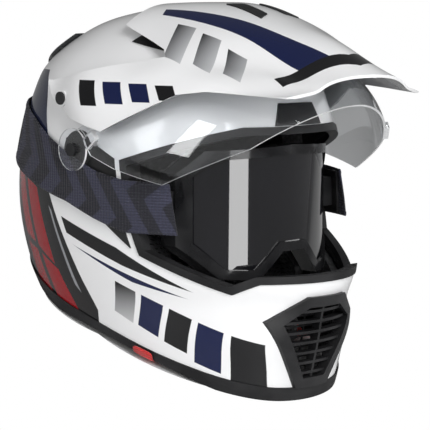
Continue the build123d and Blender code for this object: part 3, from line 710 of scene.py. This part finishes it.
def make_strap():
    """The woven strap: a hemmed ribbon right round the shell, from outrigger to outrigger."""
    rings = []
    for k in range(STRAP_STEPS + 1):
        turn = STRAP_END + (180 - 2 * STRAP_END) * k / STRAP_STEPS
        wave = sum(height * math.sin(k * rate) for height, rate in STRAP_WAVES)
        if min(k, STRAP_STEPS - k) < END_STEPS:
            wave += END_RIB * (k % 3 == 0) - END_DROP
        outer = [strap_point(turn, share, STRAP_GAP + thick + wave) for share, thick in STRAP_HEM]
        inner = [strap_point(turn, share, STRAP_GAP) for share, _ in reversed(STRAP_HEM[1:-1])]
        rings.append(outer + inner)
    tube_strip("goggle_strap_woven", rings, "strap_weave", "helmet", "goggle_strap")


def read_vectors(mesh, what):
    """The places or the normals of a mesh's points, a row each."""
    values = np.empty(len(mesh.vertices) * 3)
    mesh.vertices.foreach_get(what, values)
    return values.reshape(-1, 3)


# The cloth simulation: its pressure, its quality and its length in frames.
PRESSURE = 4.0
CLOTH_QUALITY = 4
CLOTH_FRAMES = 12


def swell(piece, cap):
    """Blow a closed piece up with cloth pressure, and keep the result up to cap mm."""
    scene = bpy.context.scene
    rest = read_vectors(piece.data, "co")
    cloth = piece.modifiers.new("cloth", "CLOTH")
    cloth.settings.use_pressure = True
    cloth.settings.uniform_pressure_force = PRESSURE
    cloth.settings.effector_weights.gravity = 0.0
    cloth.settings.quality = CLOTH_QUALITY
    cloth.point_cache.frame_start = 1
    cloth.point_cache.frame_end = CLOTH_FRAMES
    for frame_number in range(1, CLOTH_FRAMES + 1):
        scene.frame_set(frame_number)
    view = bpy.context.evaluated_depsgraph_get()
    moved = read_vectors(piece.evaluated_get(view).to_mesh(), "co")
    piece.evaluated_get(view).to_mesh_clear()
    piece.modifiers.clear()
    scene.frame_set(1)
    step = moved - rest
    length = np.linalg.norm(step, axis=1)
    share = np.minimum(1.0, cap * MM / np.maximum(length, 1e-9))
    piece.data.vertices.foreach_set("co", (rest + step * share[:, None]).ravel())
    piece.data.update()


# How far a pad's cloth rises and falls between its seams, in mm.
RIPPLE = 0.25


def sew(mesh, channels):
    """Press seams into a pad, and leave the cloth between them a little uneven.

    Each channel is (normal, offset, depth, width) in mm: its seam lies in a plane.
    """
    place = read_vectors(mesh, "co")
    normals = read_vectors(mesh, "normal")
    turn = np.array([turned((1, 0, 0)), turned((0, 1, 0)), turned((0, 0, 1))]) / MM
    drawn = (place - np.array(row(0, 0, 0))) @ turn.T / MM
    sink = np.zeros(len(place))
    for normal, offset, depth, width in channels:
        far = (drawn @ np.array(normal) - offset) / width
        sink = np.maximum(sink, depth * np.exp(-far ** 2))
    ripple = RIPPLE * np.sin(drawn[:, 1] * 0.31 + drawn[:, 2] * 0.17) * np.sin(drawn[:, 2] * 0.23)
    place = place - normals * (sink + ripple)[:, None] * MM
    mesh.vertices.foreach_set("co", place.ravel())
    mesh.update()
    smooth_faces(mesh)


def soft_pad(node, finish, channels=(), voxel=4.0, cap=3.0, inset=2.0):
    """A foam pad swollen from its CAD solid by cloth pressure, then sewn along channels."""
    source = nodes[node]
    mesh = source.data.copy()
    mesh.materials.clear()
    mesh.materials.append(finishes[finish])
    piece = bpy.data.objects.new(node + "_sewn", mesh)
    bpy.context.scene.collection.objects.link(piece)
    remesh = piece.modifiers.new("remesh", "REMESH")
    remesh.mode = "VOXEL"
    remesh.voxel_size = voxel * MM
    remesh.use_smooth_shade = True
    shrink = piece.modifiers.new("shrink", "DISPLACE")
    shrink.strength = -inset * MM
    shrink.mid_level = 0.0
    ease = piece.modifiers.new("ease", "SMOOTH")
    ease.factor = 0.5
    ease.iterations = 4
    apply_all(piece)
    swell(piece, cap)
    subdivide(piece)
    sew(piece.data, channels)
    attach(piece, source["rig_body"])
    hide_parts(node)


# The ways that seams are spaced: across and along the head, and along and up a cheek pad.
ACROSS = (1, 0, 0)
ALONG = (0, 1, 0)
CHEEK_ALONG = (0, 0.94, 0.34)
CHEEK_UP = (0, -0.34, 0.94)


def make_pads():
    """Every foam pad, with its own sewn channels."""
    crown_channels = [(ACROSS, x, 2.5, 2.5) for x in (-38, 0, 38)]
    crown_channels += [(ALONG, y, 2.5, 2.5) for y in (10, 65)]
    soft_pad("crown_pad", "pad_fabric", crown_channels, voxel=5.0)
    soft_pad("forehead_pad", "pad_fabric", [(ACROSS, 0, 1.5, 2.0)], voxel=3.0, cap=1.5, inset=1.0)
    soft_pad("neck_roll", "pad_fabric", [(ACROSS, x, 2.0, 2.2) for x in (-45, 0, 45)])
    soft_pad("chin_bar_pad", "perforated_pad", [(ACROSS, 0, 1.2, 1.8)], voxel=3.0, cap=1.5, inset=1.0)
    cheek_channels = [(CHEEK_ALONG, -42, 2.2, 2.2), (CHEEK_UP, -10, 2.2, 2.2), (CHEEK_UP, -62, 2.2, 2.2)]
    for hand in ("right", "left"):
        soft_pad("cheek_pad_" + hand, "perforated_pad", cheek_channels)
    soft_pad("goggle_foam", "face_foam", voxel=3.0, cap=1.0, inset=0.6)


# The chin strap's webs, over the rim's plane in mm: the left one's run in (x, z), the place and
# radius of the right one's loop round the rings, and the webs' section.
WEB_RUN = [(88.2, 39.5), (86.4, 31.0), (80.0, 22.5), (66.0, 12.2), (44.0, 8.2), (16.0, 6.7)]
WEB_NECK = (-48.0, 7.4)
LOOP_PLACE = (-34, 6.7)
LOOP_RADIUS = 4.35
LOOP_STEPS = 9
LOOP_STEP = 45
WEB_FROM = 32
WEB_WIDTH = 20
WEB_THICK = 1.7
WEB_HEM = [(0, 0.3), (0.02, 0.9), (0.08, 1.1), (0.14, 0.85), (0.5, 0.85), (0.86, 0.85), (0.92, 1.1),
           (0.98, 0.9), (1, 0.3)]
SPLINE_STEPS = 8


def smooth_run(points):
    """A smooth line through points, with several steps to each."""
    smooth = []
    for k in range(len(points) - 1):
        before, low = points[max(k - 1, 0)], points[k]
        high, beyond = points[k + 1], points[min(k + 2, len(points) - 1)]
        for step in range(SPLINE_STEPS):
            t = step / SPLINE_STEPS
            smooth.append(0.5 * ((2 * low) + (high - before) * t
                                 + (2 * before - 5 * low + 4 * high - beyond) * t ** 2
                                 + (3 * low - before - 3 * high + beyond) * t ** 3))
    return smooth + [points[-1]]


def make_web(name, run, node):
    """One hemmed web along a run of (x, z) over the rim's plane."""
    smooth = smooth_run([Vector(point) for point in run])
    rings = []
    for k, here in enumerate(smooth):
        normal = sideways(smooth, k)
        ring = []
        for face, hem in ((1, WEB_HEM), (-1, WEB_HEM[::-1])):
            for share, thick in hem:
                point = here + normal * face * thick * WEB_THICK / 2
                ring.append(base_row(point.x, WEB_FROM + share * WEB_WIDTH, point.y))
        rings.append(ring)
    subdivide(tube_strip(name, rings, "black_webbing", "helmet", node))


def make_webs():
    """The chin strap's two webs, the right one looped round the rings."""
    make_web("chin_web_left", WEB_RUN, "chin_strap_left")
    right = [(-x, z) for x, z in WEB_RUN[:4]] + [WEB_NECK]
    x, z = LOOP_PLACE
    for step in range(LOOP_STEPS):
        turn = math.radians(180 + LOOP_STEP * step)
        right.append((x + LOOP_RADIUS * math.cos(turn), z + LOOP_RADIUS * math.sin(turn)))
    make_web("chin_web_right", right, "chin_strap_right")


# A red pull over the rim's plane in mm: its run in (x, z), where it starts and how wide it is
# along y, its half thickness at its edges and between them, and where it starts to follow the shell.
TAB_RUN = [(66.8, 6.0), (67.4, 3.4), (70.5, 2.7), (84.0, 2.7), (97.5, 2.7), (101.0, 4.2), (102.2, 7.5),
           (103.0, 11.5)]
TAB_FROM = -66
TAB_WIDTH = 20
TAB_MIDDLE_HEIGHT = 6
TAB_SHARES = (0, 0.1, 0.5, 0.9, 1)
TAB_EDGE = 0.6
TAB_THICK = 1.1
FOLLOW_FROM = 70
FOLLOW_OVER = 27


def make_tab(side, hand):
    """A red pull: it leaves the pad's foot, runs under the rim and folds up over the trim."""
    run = [Vector(point) for point in TAB_RUN]
    middle = base_row(0, TAB_FROM + TAB_WIDTH / 2, TAB_MIDDLE_HEIGHT)
    at_middle = side_of_shell(middle.y, middle.z)
    rings = []
    for k, here in enumerate(run):
        normal = sideways(run, k)
        follow = min(1.0, max(0.0, (here.x - FOLLOW_FROM) / FOLLOW_OVER))
        ring = []
        for face, shares in ((1, TAB_SHARES), (-1, TAB_SHARES[::-1])):
            for share in shares:
                y = TAB_FROM + TAB_WIDTH * share
                spot = base_row(0, y, here.y)
                shift = (side_of_shell(spot.y, spot.z) - at_middle) * follow
                point = here + normal * face * (TAB_EDGE if share in (0, 1) else TAB_THICK)
                ring.append(base_row(side * (point.x + shift), y, point.y))
        rings.append(ring)
    tab = "release_tab_" + hand
    subdivide(tube_strip(tab + "_pull", rings, "red_webbing", "cheek_pad_" + hand, tab))


make_strap()
make_pads()
make_webs()
make_tab(-1, "right")
make_tab(1, "left")

# The sky's strength as light, and as the camera and what it looks through see it.
SKY_LIGHT = 0.17
SKY_SEEN = 1.0
# The lamps: name, place, aim and size in metres, and power in watts.
MIDDLE = (0, 0, 0.15)
LAMPS = [
    ("key", (-0.7, -1.5, 1.7), MIDDLE, (0.9, 0.9), 29),
    ("side", (-2.0, 0.2, 0.9), MIDDLE, (0.5, 0.9), 12),
    ("fill", (1.6, -1.4, 1.0), MIDDLE, (0.8, 0.8), 7),
    ("strip", (-0.344, -1.041, 0.333), (-0.048, -0.1, 0.14), (0.36, 0.6), 3.2),
]
# The floor, in metres, and the two ellipses of the helmet's dark footprint on it: how far each
# is moved ahead, and its half width and half length.
FLOOR_REACH = 6.0
FLOOR_HEIGHT = -0.0004
FOOTPRINT = ((0.042, 0.106, 0.136), (-0.008, 0.112, 0.108))


def make_sky():
    """A dim even sky that looks white to the camera."""
    world = bpy.data.worlds.new("world")
    bpy.context.scene.world = world
    world.use_nodes = True
    tree = world.node_tree
    sky = tree.nodes["Background"]
    sky.inputs["Color"].default_value = (1, 1, 1, 1)
    rays = tree.nodes.new("ShaderNodeLightPath")
    seen = tree.nodes.new("ShaderNodeMath")
    seen.operation = "MAXIMUM"
    strength = tree.nodes.new("ShaderNodeMapRange")
    strength.inputs["To Min"].default_value = SKY_LIGHT
    strength.inputs["To Max"].default_value = SKY_SEEN
    tree.links.new(rays.outputs["Is Camera Ray"], seen.inputs[0])
    tree.links.new(rays.outputs["Is Transmission Ray"], seen.inputs[1])
    tree.links.new(seen.outputs[0], strength.inputs[0])
    tree.links.new(strength.outputs[0], sky.inputs["Strength"])


def soft_light(name, place, aim, size, power):
    """A rectangular lamp at a place, turned to its aim."""
    data = bpy.data.lights.new(name, "AREA")
    data.shape = "RECTANGLE"
    data.size, data.size_y = size
    data.energy = power
    lamp = bpy.data.objects.new(name, data)
    bpy.context.scene.collection.objects.link(lamp)
    lamp.location = place
    lamp.rotation_mode = "QUATERNION"
    lamp.rotation_quaternion = (Vector(aim) - Vector(place)).to_track_quat("-Z", "Y")


def floor_paint():
    """A pale floor: white to the camera but for a dark footprint, and clear from below."""
    f = Finish("floor", (0.6, 0.6, 0.6), 0.6)
    seen = f.add("ShaderNodeLightPath").outputs["Is Camera Ray"]
    glow = f.add("ShaderNodeEmission", (1, 1, 1, 1))
    spots = []
    for shift, half_x, half_y in FOOTPRINT:
        centred = f.vectors("ADD", f.coords.outputs["Object"], (0, shift, 0))
        spots.append(f.vectors("LENGTH", f.vectors("MULTIPLY", centred, (1 / half_x, 1 / half_y, 1.0))))
    outside = f.math("GREATER_THAN", f.math("MINIMUM", *spots), 1.0)
    upper = f.show(f.math("MULTIPLY", outside, seen), f.shader.outputs[0], glow.outputs[0])
    below = f.add("ShaderNodeNewGeometry").outputs["Backfacing"]
    clear = f.add("ShaderNodeBsdfTransparent")
    f.show(f.math("MULTIPLY", below, seen), upper, clear.outputs[0])
    return f.material


def make_floor():
    """The floor, just under the rim."""
    ways = ((-1, -1), (1, -1), (1, 1), (-1, 1))
    corners = [(x * FLOOR_REACH, y * FLOOR_REACH, FLOOR_HEIGHT) for x, y in ways]
    mesh = bpy.data.meshes.new("floor")
    mesh.from_pydata(corners, [], [(0, 1, 2, 3)])
    mesh.materials.append(floor_paint())
    floor = bpy.data.objects.new("floor", mesh)
    bpy.context.scene.collection.objects.link(floor)


make_sky()
for lamp in LAMPS:
    soft_light(*lamp)
make_floor()
